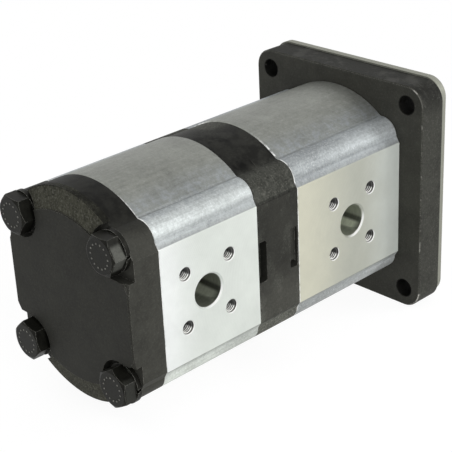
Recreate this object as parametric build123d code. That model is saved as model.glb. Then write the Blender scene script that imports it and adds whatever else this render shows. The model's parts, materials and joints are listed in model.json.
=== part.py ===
from build123d import *
import math
import os

# Tandem gear pump: two external gear stages in line, driven by one shaft line.
# Each stage is an extruded aluminium body that holds a pair of gears between two bearing blocks.
# A cast cover closes the rear end, a cast plate joins the two bodies, and a cast flange mounts the pump.
# Millimetres. +Y runs along the drive shaft and out of the mounting flange, +X points to the
# pressure ports, and +Z is up. The origin is on the drive shaft's axis, in the flange's mounting face.

# Lengths of the five housing pieces along the shaft, front to rear
flange_thickness = 17.8
front_body_length = 69.6
plate_thickness = 24.4
rear_body_length = 55.4
cover_thickness = 17.0

# Outline that the cover, the plate and both bodies share
body_width = 79.0
body_height = 96.8
crown_radius = 45.6
port_flat_height = 55.6
port_flat_bevel_run = 3.6
port_flat_bevel_rise = 6.0
lobe_radius = 8.4
crease_radius = 1.0
body_end_chamfer = 0.5
plate_crown_drop = 0.5

# Mounting flange
flange_width = 105.0
flange_height = 112.5
flange_corner_radius = 9.5
flange_hole_edge_x = 9.5
flange_hole_edge_z = 9.25
flange_hole_diameter = 9.0
machined_band_thickness = 3.5
machined_band_step = 0.3
machined_band_rise = 1.0
machined_band_shift = -0.6
pilot_diameter = 50.0
pilot_length = 7.0
pilot_chamfer = 1.0
flange_edge_chamfer = 0.5

# Through bolts, M10, from the rear cover into the flange
bolt_diameter = 10.0
bolt_spacing_x = 58.6
bolt_spacing_z = 60.6
bolt_clearance = 0.5
bolt_thread_gap = 0.05
bolt_head_flats = 16.0
bolt_head_height = 6.4
bolt_head_turns = [15, 24, 0, 30]
bolt_thread_depth = 14.0
bolt_tip_gap = 1.0
washer_outer_diameter = 18.1
washer_thickness = 2.2
washer_split = 1.4
washer_split_angle = 25.0
washer_bore_gap = 0.1
bolt_pocket_radius = 11.2
bolt_pocket_depth = 4.2

# Turned ends of hexagons: the flat face's share of the width across flats, and the chamfer's angle
hex_face_share = 0.95
hex_chamfer_angle = 30.0

# Raised face of the rear cover and the two shoulders that fall away from it
face_arc_radius = 44.5
face_arc_top = 38.4
shoulder_step = 0.7
shoulder_slope = 0.23
shoulder_reach = 20.0
cover_edge_chamfer = 0.6

# Recesses cast into both sides of the joining plate: a deep one, open to the rear joint, and a
# shallow one near the front joint, with a deep foot
slot_height = 19.4
slot_rise = 1.0
slot_corner_radius = 1.2
rear_slot_width = 4.6
rear_slot_depth = 4.2
front_slot_width = 4.5
front_slot_depth = 1.5
front_slot_rim = 0.8
front_foot_height = 2.8
front_foot_depth = 4.2

# Gears: one tooth form for both stages
teeth = 12
tooth_module = 2.75
pressure_angle = math.radians(20)
gear_centre_distance = 34.2
tip_diameter = 39.4
root_diameter = 27.2
backlash = 0.16
bore_tip_gap = 0.25
gear_side_gap = 0.05

# Shaft line
journal_diameter = 18.0
journal_end_gap = 0.5
running_gap = 0.04
bush_wall = 1.5
tang_width = 8.0
tang_length = 7.0
coupling_diameter = 24.0
coupling_gap = 0.1
coupling_bore_gap = 0.6
taper_big_diameter = 17.0
taper_length = 18.0
taper_rate = 0.2
taper_start = 2.0
seal_land_chamfer = 0.5
thread_diameter = 12.0
thread_length = 16.0
thread_chamfer = 1.0
key_disc_diameter = 16.0
key_width = 4.0
key_height = 6.5
key_stand = 1.5
key_gap = 0.03
shaft_nut_flats = 19.0
shaft_nut_height = 8.0
shaft_washer_diameter = 20.5
shaft_washer_thickness = 2.5

# Bearing blocks and their seals
block_length = 20.7
block_gap = 0.05
relief_width = 7.0
relief_height = 5.0
relief_depth = 1.2
axial_seal_radius = 17.1
axial_seal_width = 2.0
axial_seal_thickness = 1.6
backup_thickness = 0.8
axial_seal_end = 6.0
joint_seal_radius = 22.9
joint_seal_width = 2.2
joint_seal_depth = 1.6

# Dowels at each housing joint
dowel_diameter = 6.0
dowel_length = 12.0
dowel_spacing = 63.0
dowel_end_gap = 0.2

# Shaft seal in the flange
seal_outer_diameter = 32.0
seal_width = 7.0
seal_shell = 1.6
seal_lip_length = 4.0
seal_lip_gap = 0.05
circlip_thickness = 1.2
circlip_depth = 0.9
circlip_width = 2.6
circlip_mouth = 44.0
circlip_ear_radius = 2.1
circlip_ear_hole_radius = 0.9

# Ports: four M6 holes round each bore, pressure side on +X and suction side on -X
port_screw_diameter = 6.0
port_screw_depth = 13.0
port_screw_chamfer = 0.4
pressure_bore_diameter = 15.0
pressure_bolt_circle = 35.0
pressure_passage_diameter = 11.0
suction_bore_diameter = 20.0
suction_bolt_circle = 40.0
suction_passage_diameter = 13.0
port_floor_wall = 1.55
port_bore_chamfer = 0.8
rear_port_from_rear = 25.7
front_port_from_rear = 36.0

# Stations along the shaft, and places across it, that follow from the sizes above
flange_rear = -flange_thickness
plate_front = flange_rear - front_body_length
plate_rear = plate_front - plate_thickness
cover_front = plate_rear - rear_body_length
cover_rear = cover_front - cover_thickness
bolt_seat = cover_rear + bolt_pocket_depth

drive_place = (0, 0)
driven_place = (0, -gear_centre_distance)
gear_places = [drive_place, driven_place]
centre = (0, -gear_centre_distance / 2)
four_corners = [(-1, -1), (-1, 1), (1, -1), (1, 1)]

flange_hole_spacing_x = flange_width - 2 * flange_hole_edge_x
flange_hole_spacing_z = flange_height - 2 * flange_hole_edge_z
gear_bore_radius = tip_diameter / 2 + bore_tip_gap
journal_radius = journal_diameter / 2
bush_bore_radius = journal_radius + running_gap
bush_outer_radius = bush_bore_radius + bush_wall
coupling_bore_radius = coupling_diameter / 2 + coupling_bore_gap
port_bore_depth = body_width / 2 - gear_bore_radius - port_floor_wall
taper_front = pilot_length + taper_start + taper_length


# Helpers: sketches are drawn looking along +Y, with X across and Z up

def corners(spacing_x, spacing_z):
    """Four places at the corners of a rectangle on the body's centre line."""
    return [(centre[0] + sx * spacing_x / 2, centre[1] + sz * spacing_z / 2) for sx, sz in four_corners]


bolt_places = corners(bolt_spacing_x, bolt_spacing_z)


def slab(front, length, face):
    """Extrude a sketch from the plane y = front towards the rear."""
    return extrude(Plane.XZ.offset(-front) * face, amount=length)


def discs(places, radius):
    """Equal circles at several places, as one sketch."""
    return Sketch() + [Pos(x, z) * Circle(radius) for x, z in places]


def turned(profile):
    """Revolve a closed list of (radius, y) points about the drive shaft's axis."""
    outline = Polyline([(radius, y) for radius, y in profile], close=True)
    return revolve(make_face(outline), axis=Axis.Y)


def shifted(place, shape):
    """Move a shape from the drive axis to another place across the section."""
    return Pos(place[0], 0, place[1]) * shape


def hex_prism(front, height, flats, chamfer_front, chamfer_rear):
    """A hexagon with turned corners, on the drive axis, from y = front towards the rear."""
    corner = flats / math.sqrt(3)
    small = flats / 2 * hex_face_share
    rise = (corner - small) * math.tan(math.radians(hex_chamfer_angle))
    rear = front - height
    blank = slab(front, height, Rot(0, 0, 30) * RegularPolygon(corner, 6))
    profile = [(0, front), (small if chamfer_front else corner, front)]
    if chamfer_front:
        profile.append((corner, front - rise))
    if chamfer_rear:
        profile.append((corner, rear + rise))
    profile += [(small if chamfer_rear else corner, rear), (0, rear)]
    return blank & turned(profile)


# Outline shared by the cover, the plate and the bodies

def body_outline(crown_drop=0):
    """Crowned top and bottom, a round lobe about each bolt, and raised flats for the ports."""
    crown_centre = body_height / 2 - crown_radius
    flat_top = port_flat_height / 2
    crowns = discs([(0, crown_centre), (0, -crown_centre)], crown_radius - crown_drop)
    core = crowns & Rectangle(bolt_spacing_x, body_height)
    side = body_width / 2
    bevel_side = side - port_flat_bevel_run
    bevel_top = flat_top + port_flat_bevel_rise
    pad = make_face(Polyline([
        (side, -flat_top), (side, flat_top), (bevel_side, bevel_top), (-bevel_side, bevel_top),
        (-side, flat_top), (-side, -flat_top), (-bevel_side, -bevel_top), (bevel_side, -bevel_top)],
        close=True))
    outline = Pos(*centre) * (core + pad) + discs(bolt_places, lobe_radius)
    creases = [corner for corner in outline.vertices() if abs(corner.X) < bolt_spacing_x / 2]
    return fillet(creases, crease_radius)


def gear_chamber():
    """Two overlapping bores that the gears and the bearing blocks sit in."""
    return discs(gear_places, gear_bore_radius)


def race_track(radius):
    """A long round-ended outline about both gear axes."""
    return Pos(*centre) * Rot(0, 0, 90) * SlotCenterToCenter(gear_centre_distance, 2 * radius)


def joint_groove():
    """The face seal's track around the gear chamber."""
    half = joint_seal_width / 2
    return race_track(joint_seal_radius + half) - race_track(joint_seal_radius - half)


def dowel_holes(joint, front_side, rear_side):
    """Holes for the two dowels at a joint, in the piece before it and in the piece behind it."""
    depth = dowel_length / 2 + dowel_end_gap
    places = [(side * dowel_spacing / 2, centre[1]) for side in (-1, 1)]
    front = joint + depth * front_side
    return slab(front, depth * (front_side + rear_side), discs(places, dowel_diameter / 2))


# Pump bodies

def drilled(side, y, z, radius, depth, chamfer):
    """A hole with a countersunk mouth, drilled square into the body's side face."""
    mouth = Plane((side * body_width / 2, 0, 0), x_dir=(0, 1, 0), z_dir=(side, 0, 0))
    hole = Pos(0, 0, -depth / 2) * Cylinder(radius, depth)
    sink = Pos(0, 0, -chamfer / 2) * Cone(radius, radius + chamfer, chamfer)
    return mouth * Pos(y, side * z) * (hole + sink)


def port_cuts(port_y, side, bore_diameter, passage_diameter, bolt_circle):
    """One port bore, the narrower passage from its floor to the gears, and its four tapped holes."""
    half_pitch = bolt_circle / math.sqrt(2) / 2
    cuts = [drilled(side, port_y, centre[1], bore_diameter / 2, port_bore_depth, port_bore_chamfer)]
    cuts.append(drilled(side, port_y, centre[1], passage_diameter / 2, body_width / 2, port_bore_chamfer))
    for sy, sz in four_corners:
        cuts.append(drilled(side, port_y + sy * half_pitch, centre[1] + sz * half_pitch,
                            port_screw_diameter / 2, port_screw_depth, port_screw_chamfer))
    return cuts


def pump_body(front, length, port_from_rear):
    """Extruded body with gear chamber, bolt holes, seal grooves, dowel holes and four ports."""
    rear = front - length
    port_y = rear + port_from_rear
    body = slab(front, length, body_outline())
    ends = body.faces().filter_by(Axis.Y)
    body = chamfer(ends.edges(), body_end_chamfer)
    body -= slab(front, length, gear_chamber() + discs(bolt_places, bolt_diameter / 2 + bolt_clearance))
    body -= slab(front, joint_seal_depth, joint_groove())
    body -= slab(rear + joint_seal_depth, joint_seal_depth, joint_groove())
    body -= dowel_holes(front, 0, 1)
    body -= dowel_holes(rear, 1, 0)
    cuts = port_cuts(port_y, 1, pressure_bore_diameter, pressure_passage_diameter, pressure_bolt_circle)
    cuts += port_cuts(port_y, -1, suction_bore_diameter, suction_passage_diameter, suction_bolt_circle)
    for cut in cuts:
        body -= cut
    return body


def joint_seal(joint, direction):
    """Rubber face seal in a body's end face; the body lies to the rear for 1, to the front for -1."""
    front = joint if direction > 0 else joint + joint_seal_depth
    return slab(front, joint_seal_depth, joint_groove())


# Rear cover

def shoulder_cut(half):
    """The cast shoulder outside the raised face's arc, on the upper (1) or lower (-1) half."""
    inner = face_arc_radius
    outer = face_arc_radius + shoulder_reach
    drop = shoulder_step + shoulder_reach * shoulder_slope
    ring = turned([(inner, cover_rear - drop), (inner, cover_rear + shoulder_step),
                   (outer, cover_rear + drop), (outer, cover_rear - drop)])
    arc_centre = (0, centre[1] + half * (face_arc_top - face_arc_radius))
    window = Pos(0, centre[1] + half * body_height / 2) * Rectangle(body_width, body_height)
    return shifted(arc_centre, ring) & slab(cover_front, cover_thickness + drop, window)


def pocket_outlines():
    """Round seats for the bolt heads, open to the cover's sides."""
    pockets = discs(bolt_places, bolt_pocket_radius)
    for x, z in bolt_places:
        outward = math.copysign(1, x)
        pockets += Pos(x + outward * body_width / 4, z) * Rectangle(body_width / 2, 2 * bolt_pocket_radius)
    return pockets


def rear_cover():
    """Cast end cover: raised face, two falling shoulders and four open bolt pockets."""
    cover = slab(cover_front, cover_thickness, body_outline())
    rear_edges = cover.faces().sort_by(Axis.Y)[0].edges()
    cover = chamfer(rear_edges, cover_edge_chamfer)
    cover -= shoulder_cut(1)
    cover -= shoulder_cut(-1)
    cover -= slab(bolt_seat, 2 * bolt_pocket_depth, pocket_outlines())
    cover -= slab(cover_front, cover_thickness, discs(bolt_places, bolt_diameter / 2 + bolt_clearance))
    cover -= dowel_holes(cover_front, 0, 1)
    return cover


# Joining plate

def plate_slot(side, y, z, width, height, depth):
    """One recess cast into a side of the plate, centred at y and z."""
    outline = Pos(y, z) * RectangleRounded(width, height, slot_corner_radius)
    floor = Plane((side * (body_width / 2 - depth), 0, 0), x_dir=(0, 1, 0), z_dir=(1, 0, 0))
    return extrude(floor * outline, amount=side * 2 * depth)


def side_recesses(side):
    """The recesses of one side: rear slot, front slot and the front slot's foot."""
    slot_z = centre[1] + slot_rise
    foot_z = slot_z - (slot_height - front_foot_height) / 2
    front_y = plate_front - front_slot_rim - front_slot_width / 2
    recesses = plate_slot(side, plate_rear, slot_z, 2 * rear_slot_width, slot_height, rear_slot_depth)
    recesses += plate_slot(side, front_y, slot_z, front_slot_width, slot_height, front_slot_depth)
    recesses += plate_slot(side, front_y, foot_z, front_slot_width, front_foot_height, front_foot_depth)
    return recesses


def intermediate_plate():
    """Cast plate between the stages, with the coupling's bore and recesses in its sides."""
    holes = discs(bolt_places, bolt_diameter / 2 + bolt_clearance)
    plate = slab(plate_front, plate_thickness, body_outline(plate_crown_drop) - holes)
    plate -= slab(plate_front, plate_thickness, discs([drive_place], coupling_bore_radius))
    plate -= dowel_holes(plate_front, 0, 1)
    plate -= dowel_holes(plate_rear, 1, 0)
    for side in (-1, 1):
        plate -= side_recesses(side)
    return plate


# Mounting flange

def flange_outline(inset, shift, rise):
    """Rounded rectangle, drawn in by an inset, and set off the body's centre by a shift and a rise."""
    return Pos(centre[0] + shift, centre[1] + rise) * RectangleRounded(
        flange_width - 2 * inset, flange_height - 2 * inset, flange_corner_radius - inset)


def mounting_flange():
    """Cast flange with a machined band at its mounting face, a pilot and the shaft seal's seat."""
    casting_depth = flange_thickness - machined_band_thickness
    casting = slab(-machined_band_thickness, casting_depth, flange_outline(0, 0, 0))
    rear_edges = casting.faces().sort_by(Axis.Y)[0].edges()
    casting = chamfer(rear_edges, flange_edge_chamfer)
    band = flange_outline(machined_band_step, machined_band_shift, machined_band_rise)
    flange = casting + slab(0, machined_band_thickness, band)
    pilot = slab(pilot_length, pilot_length, discs([drive_place], pilot_diameter / 2))
    pilot_edge = pilot.faces().sort_by(Axis.Y)[-1].edges()
    flange += chamfer(pilot_edge, pilot_chamfer)
    flange -= slab(0, flange_thickness, discs(corners(flange_hole_spacing_x, flange_hole_spacing_z),
                                              flange_hole_diameter / 2))
    flange -= slab(flange_rear + bolt_thread_depth + bolt_tip_gap, bolt_thread_depth + bolt_tip_gap,
                   discs(bolt_places, bolt_diameter / 2))
    seat_length = seal_width + circlip_thickness + pilot_chamfer
    flange -= slab(pilot_length, seat_length, discs([drive_place], seal_outer_diameter / 2))
    flange -= slab(pilot_length, pilot_length + flange_thickness, discs([drive_place], coupling_bore_radius))
    flange -= slab(pilot_length - pilot_chamfer, circlip_thickness,
                   discs([drive_place], seal_outer_diameter / 2 + circlip_depth))
    flange -= dowel_holes(flange_rear, 1, 0)
    return flange


def shaft_seal():
    """Rotary lip seal: an outer shell, a web and a lip that points inwards."""
    front = pilot_length - pilot_chamfer - circlip_thickness
    rear = front - seal_width
    outer = seal_outer_diameter / 2
    shell = outer - seal_shell
    lip = journal_radius + seal_lip_gap
    return turned([(lip, front), (outer, front), (outer, rear), (shell, rear),
                   (shell, front - seal_shell), (lip + seal_shell, front - seal_shell),
                   (lip + seal_shell, front - seal_lip_length), (lip, front - seal_lip_length)])


def seal_circlip():
    """Internal retaining ring with two ears, in its groove in front of the seal."""
    front = pilot_length - pilot_chamfer
    outer = seal_outer_diameter / 2 + circlip_depth
    inner = outer - circlip_width
    reach = 2 * outer
    half_mouth = math.radians(circlip_mouth / 2)
    ear_middle = seal_outer_diameter / 2 - circlip_ear_radius
    wedge = make_face(Polyline([(0, 0), (-reach * math.sin(half_mouth), reach * math.cos(half_mouth)),
                                (reach * math.sin(half_mouth), reach * math.cos(half_mouth))], close=True))
    ear_places = [(side * ear_middle * math.sin(half_mouth), ear_middle * math.cos(half_mouth))
                  for side in (-1, 1)]
    ring = Circle(outer) - Circle(inner) - wedge
    ring += discs(ear_places, circlip_ear_radius)
    ring -= discs(ear_places, circlip_ear_hole_radius)
    return slab(front, circlip_thickness, ring)


# Gears and shafts

base_radius = teeth * tooth_module * math.cos(pressure_angle) / 2
pitch_radius = gear_centre_distance / 2
working_angle = math.acos(base_radius / pitch_radius)
pitch_half_tooth = (math.pi * pitch_radius / teeth - backlash / 2) / 2 / pitch_radius


def involute(angle):
    """The involute function of a pressure angle in radians."""
    return math.tan(angle) - angle


def half_tooth(radius):
    """Half the angle that a tooth covers at a radius."""
    if radius <= base_radius:
        return pitch_half_tooth + involute(working_angle)
    return pitch_half_tooth + involute(working_angle) - involute(math.acos(base_radius / radius))


def on_circle(radius, angle):
    """A point of the gear sketch at an angle in radians from +X."""
    return (radius * math.cos(angle), radius * math.sin(angle))


def gear_face(first_tooth):
    """A gear's outline, with the middle of one tooth at an angle in degrees from +X."""
    tip = tip_diameter / 2
    root = root_diameter / 2
    flank = [base_radius, (base_radius + tip) / 2, tip]
    edges = []
    for tooth in range(teeth):
        middle = math.radians(first_tooth) + tooth * 2 * math.pi / teeth
        following = middle + 2 * math.pi / teeth
        rising = [on_circle(radius, middle - half_tooth(radius)) for radius in flank]
        falling = [on_circle(radius, middle + half_tooth(radius)) for radius in reversed(flank)]
        rising_foot = on_circle(root, middle - half_tooth(root))
        falling_foot = on_circle(root, middle + half_tooth(root))
        next_foot = on_circle(root, following - half_tooth(root))
        edges.append(Line(rising_foot, rising[0]))
        edges.append(ThreePointArc(*rising))
        edges.append(ThreePointArc(rising[-1], on_circle(tip, middle), falling[0]))
        edges.append(ThreePointArc(*falling))
        edges.append(Line(falling[-1], falling_foot))
        edges.append(ThreePointArc(falling_foot, on_circle(root, (middle + following) / 2), next_foot))
    return make_face(Wire(edges))


drive_first_tooth = -90.0
driven_first_tooth = 90.0 + 180.0 / teeth


def gear_front(front):
    """Where a stage's gears start, behind the bearing block at the stage's front."""
    return front - block_length - gear_side_gap


def gear_width(length):
    """What the bearing blocks leave for the gears of a body of this length."""
    return length - 2 * (block_length + gear_side_gap)


def tang(front, turn):
    """A flat driving tang of the shaft's diameter, turned about the shaft."""
    flat = Circle(journal_radius) & Rectangle(2 * journal_radius, tang_width)
    return slab(front, tang_length, Rot(0, 0, turn) * flat)


def key_disc(gap):
    """The woodruff key's half-moon across the taper, larger all round by a gap."""
    middle_y = pilot_length + taper_start + taper_length / 2
    surface = taper_big_diameter / 2 - taper_length / 2 * taper_rate / 2
    top = surface + key_stand
    disc = Plane.YZ * Pos(middle_y, top - key_height + key_disc_diameter / 2) * Circle(
        key_disc_diameter / 2 + gap)
    disc = extrude(disc, amount=key_width / 2 + gap, both=True)
    window = Pos(0, middle_y, top + gap - key_height) * Box(
        2 * key_width, 2 * key_disc_diameter, 2 * key_height)
    return disc & window


def front_drive_gear():
    """Input shaft: driving gear, journals, taper for the hub, thread and rear tang, in one piece."""
    taper_rear = pilot_length + taper_start
    taper_small = taper_big_diameter / 2 - taper_length * taper_rate / 2
    thread = thread_diameter / 2
    thread_front = taper_front + thread_length
    shaft = turned([(0, plate_front), (journal_radius, plate_front),
                    (journal_radius, taper_rear - seal_land_chamfer), (taper_big_diameter / 2, taper_rear),
                    (taper_small, taper_front), (thread, taper_front),
                    (thread, thread_front - thread_chamfer), (thread - thread_chamfer, thread_front),
                    (0, thread_front)])
    shaft += slab(gear_front(flange_rear), gear_width(front_body_length), gear_face(drive_first_tooth))
    shaft += tang(plate_front, 0)
    shaft -= key_disc(key_gap)
    return shaft


def rear_drive_gear():
    """Second driving gear with its journals, and a front tang that the coupling turns."""
    rear = cover_front + journal_end_gap
    shaft = slab(plate_rear, plate_rear - rear, Circle(journal_radius))
    shaft += slab(gear_front(plate_rear), gear_width(rear_body_length), gear_face(drive_first_tooth))
    shaft += tang(plate_rear + tang_length, 90)
    return shaft


def driven_gear(front, length):
    """Driven gear with a journal on each side."""
    shaft = slab(front - journal_end_gap, length - 2 * journal_end_gap, Circle(journal_radius))
    shaft += slab(gear_front(front), gear_width(length), gear_face(driven_first_tooth))
    return shifted(driven_place, shaft)


def shaft_coupling():
    """Coupling disc in the plate, with crossed slots for the two tangs."""
    slot = Rectangle(3 * coupling_diameter, tang_width + 2 * coupling_gap)
    depth = tang_length + coupling_gap
    front = plate_front - coupling_gap
    rear = plate_rear + coupling_gap
    disc = slab(front, front - rear, Circle(coupling_diameter / 2))
    disc -= slab(plate_front, depth, slot)
    disc -= slab(plate_rear + depth, depth, Rot(0, 0, 90) * slot)
    return disc


def woodruff_key():
    """Half-moon key on the shaft's taper."""
    return key_disc(0)


def split_washer(front, thickness, outer_radius, bore_radius):
    """A spring lock washer with one slanting cut, on the drive axis."""
    ring = slab(front, thickness, Circle(outer_radius) - Circle(bore_radius))
    cut = Pos(outer_radius, front - thickness / 2, 0) * Rot(washer_split_angle, 0, 0) * Box(
        2 * (outer_radius - bore_radius / 2), 3 * thickness, washer_split)
    return ring - cut


def shaft_lock_washer():
    """Spring washer between the taper and the shaft nut."""
    return split_washer(taper_front + shaft_washer_thickness, shaft_washer_thickness,
                        shaft_washer_diameter / 2, thread_diameter / 2 + washer_bore_gap)


def shaft_nut():
    """Hexagon nut on the shaft's thread."""
    front = taper_front + shaft_washer_thickness + shaft_nut_height
    nut = hex_prism(front, shaft_nut_height, shaft_nut_flats, True, True)
    return nut - slab(front, shaft_nut_height, Circle(thread_diameter / 2 + bolt_thread_gap))


# Bearing blocks, bushes and axial seals

def axial_track():
    """The figure-three track of the axial seal, open to the suction side."""
    half = axial_seal_width / 2
    rings = discs(gear_places, axial_seal_radius + half) - discs(gear_places, axial_seal_radius - half)
    keep = Pos(body_width / 2 - axial_seal_end, centre[1]) * Rectangle(body_width, 2 * body_height)
    return rings & keep


def bearing_block(gear_side, back_side):
    """Figure-eight block with two bush bores, relief pockets and its axial seal's groove."""
    towards_back = math.copysign(1, back_side - gear_side)
    front = max(gear_side, back_side)
    block = slab(front, block_length, discs(gear_places, gear_bore_radius - block_gap))
    block -= slab(front, block_length, discs(gear_places, bush_outer_radius))
    groove_depth = axial_seal_thickness + backup_thickness
    block -= slab(max(back_side, back_side - towards_back * groove_depth), groove_depth, axial_track())
    for side in (-1, 1):
        pocket = Pos(side * relief_width, centre[1]) * Rectangle(relief_width, relief_height)
        block -= slab(max(gear_side, gear_side + towards_back * relief_depth), relief_depth, pocket)
    return block


def bush_pair(gear_side, back_side):
    """The two plain bushes of a bearing block."""
    front = max(gear_side, back_side)
    rings = discs(gear_places, bush_outer_radius) - discs(gear_places, bush_bore_radius)
    return slab(front, block_length, rings)


def axial_seal(back_side, towards_gear):
    """Rubber seal at the bottom of the block's groove."""
    top = back_side + towards_gear * backup_thickness
    bottom = top + towards_gear * axial_seal_thickness
    return slab(max(top, bottom), axial_seal_thickness, axial_track())


def backup_strip(back_side, towards_gear):
    """Hard strip over the rubber seal, flush with the block's back."""
    inner = back_side + towards_gear * backup_thickness
    return slab(max(back_side, inner), backup_thickness, axial_track())


# Fasteners and dowels

def through_bolts():
    """Four hexagon bolts that clamp the whole stack, each head turned as it was tightened."""
    head_front = bolt_seat - washer_thickness
    tip = flange_rear + bolt_thread_depth
    shank = slab(tip, tip - head_front, Circle(bolt_diameter / 2 - bolt_thread_gap))
    head = hex_prism(head_front, bolt_head_height, bolt_head_flats, False, True)
    return [shifted(place, shank + Rot(0, -turn, 0) * head)
            for place, turn in zip(bolt_places, bolt_head_turns)]


def spring_washers():
    """A split washer under each bolt head."""
    washer = split_washer(bolt_seat, washer_thickness, washer_outer_diameter / 2,
                          bolt_diameter / 2 + washer_bore_gap)
    return [shifted(place, washer) for place in bolt_places]


def dowel_pins():
    """Two dowels at each of the four housing joints."""
    pins = []
    for joint in (flange_rear, plate_front, plate_rear, cover_front):
        for side in (-1, 1):
            place = (side * dowel_spacing / 2, centre[1])
            pins.append(shifted(place, slab(joint + dowel_length / 2, dowel_length,
                                            Circle(dowel_diameter / 2))))
    return pins


# Write one STEP file per node

def save(node, *shapes):
    """Write a node's solids, one or several, to its own file."""
    solids = [solid for shape in shapes for solid in shape.solids()]
    whole = solids[0] if len(solids) == 1 else Compound(children=solids)
    export_step(whole, f"parts/{node}.step")


os.makedirs("parts", exist_ok=True)

save("mounting_flange", mounting_flange())
save("front_body", pump_body(flange_rear, front_body_length, front_port_from_rear))
save("intermediate_plate", intermediate_plate())
save("rear_body", pump_body(plate_rear, rear_body_length, rear_port_from_rear))
save("rear_cover", rear_cover())
save("through_bolts", *through_bolts())
save("spring_washers", *spring_washers())
save("dowel_pins", *dowel_pins())
save("flange_joint_seal", joint_seal(flange_rear, 1))
save("front_plate_joint_seal", joint_seal(plate_front, -1))
save("rear_plate_joint_seal", joint_seal(plate_rear, 1))
save("cover_joint_seal", joint_seal(cover_front, -1))
save("front_drive_gear", front_drive_gear())
save("front_driven_gear", driven_gear(flange_rear, front_body_length))
save("rear_drive_gear", rear_drive_gear())
save("rear_driven_gear", driven_gear(plate_rear, rear_body_length))
save("shaft_coupling", shaft_coupling())
save("woodruff_key", woodruff_key())
save("shaft_lock_washer", shaft_lock_washer())
save("shaft_nut", shaft_nut())
save("shaft_seal", shaft_seal())
save("seal_circlip", seal_circlip())

# Each stage holds an outer block at its far end and an inner block at the joining plate
block_stations = {
    "front_outer": (flange_rear, -1),
    "front_inner": (plate_front, 1),
    "rear_inner": (plate_rear, -1),
    "rear_outer": (cover_front, 1),
}
for name, (back, towards_gear) in block_stations.items():
    gear_side = back + towards_gear * block_length
    save(f"{name}_bearing_block", bearing_block(gear_side, back))
    save(f"{name}_bushes", bush_pair(gear_side, back))
    save(f"{name}_axial_seal", axial_seal(back, towards_gear))
    save(f"{name}_backup_strip", backup_strip(back, towards_gear))
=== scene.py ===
# %% [markdown]
# # The looks of a tandem gear pump
#
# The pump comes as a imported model: every real piece is there already, at its real size. This lesson
# dresses it. It makes the finishes (cast iron, extruded and milled aluminium, blackened steel), adds
# the small forms that were left to this stage (screw threads and the marks on the bolt heads), and
# sets up a plain studio with a camera.

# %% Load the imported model
import json
import math

import bmesh
import bpy
from mathutils import Matrix, Vector


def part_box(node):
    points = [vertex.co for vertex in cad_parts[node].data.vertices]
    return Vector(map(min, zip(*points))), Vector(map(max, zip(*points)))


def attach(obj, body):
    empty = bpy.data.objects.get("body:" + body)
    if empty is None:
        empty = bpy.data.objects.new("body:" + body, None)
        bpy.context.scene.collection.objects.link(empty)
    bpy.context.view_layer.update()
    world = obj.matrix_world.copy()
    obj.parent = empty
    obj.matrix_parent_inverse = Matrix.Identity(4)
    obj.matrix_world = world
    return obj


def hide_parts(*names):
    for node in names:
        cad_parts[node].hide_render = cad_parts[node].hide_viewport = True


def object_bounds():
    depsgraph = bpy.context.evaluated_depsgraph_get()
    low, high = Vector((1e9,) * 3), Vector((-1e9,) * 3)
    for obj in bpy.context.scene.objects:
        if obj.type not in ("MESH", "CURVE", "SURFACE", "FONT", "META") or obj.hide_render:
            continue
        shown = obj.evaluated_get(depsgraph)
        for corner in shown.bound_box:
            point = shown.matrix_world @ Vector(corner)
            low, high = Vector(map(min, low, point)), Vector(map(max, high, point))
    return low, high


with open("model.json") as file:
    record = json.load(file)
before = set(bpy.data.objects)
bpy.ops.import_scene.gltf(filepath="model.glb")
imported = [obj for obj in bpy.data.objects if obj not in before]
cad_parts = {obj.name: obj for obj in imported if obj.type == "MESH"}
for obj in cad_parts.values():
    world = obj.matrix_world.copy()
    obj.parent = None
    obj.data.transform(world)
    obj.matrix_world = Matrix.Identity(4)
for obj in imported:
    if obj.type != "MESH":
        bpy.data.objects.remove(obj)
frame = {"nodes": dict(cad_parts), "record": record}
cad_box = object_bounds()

mm = 0.001
nodes = frame["nodes"]
mounts = {mount["name"]: mount for mount in frame["record"]["mounts"]}

# %% [markdown]
# ## Where things are
#
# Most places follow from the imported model: a node's box gives its ends, and the record's mounts give
# the ports. The few sizes that neither of them holds are written once, in millimetres, where they are
# first needed. The shaft runs along Y, and the section across it is X and Z.

# %% Places, in millimetres


def box_mm(node):
    """A node's lowest and highest corner in millimetres."""
    low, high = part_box(node)
    return low / mm, high / mm


front_low, front_high = box_mm("front_body")
plate_low, plate_high = box_mm("intermediate_plate")
flange_low, flange_high = box_mm("mounting_flange")
cover_low = box_mm("rear_cover")[0]
bolts_low = box_mm("through_bolts")[0]

centre_z = (front_low.z + front_high.z) / 2
side_x = front_high.x
bolt_x = 29.3
bolt_z = 30.3
print("section centre z:", round(centre_z, 2), "port face x:", round(side_x, 2))

# %% [markdown]
# ## Camera
#
# A camera is described by where it stands, what it looks at, how far it is rolled and how long its
# lens is. These were found by lining up some twenty corners and holes of the pump with the picture.
# A long lens from half a metre keeps the pump's edges nearly parallel, as product pictures have them.

# %% Camera
camera_place = Vector((0.3946, -0.4591, 0.2367))
camera_target = Vector((0.0200, -0.1122, -0.0040))
camera_roll = math.radians(-2.825)
camera_lens = 103.6


def new_object(name, data):
    """An object made of some data, in the scene."""
    obj = bpy.data.objects.new(name, data)
    bpy.context.scene.collection.objects.link(obj)
    return obj


camera = new_object("studio_camera", bpy.data.cameras.new("studio_camera"))
camera.data.lens = camera_lens
camera.data.sensor_width = 36.0
camera.data.clip_start = 0.01
turn = (camera_target - camera_place).to_track_quat("-Z", "Y").to_matrix().to_4x4()
roll = Matrix.Rotation(camera_roll, 4, "Z")
camera.matrix_world = Matrix.Translation(camera_place) @ turn @ roll
bpy.context.scene.camera = camera
print("camera", round((camera_target - camera_place).length, 3), "m from its target")

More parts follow.
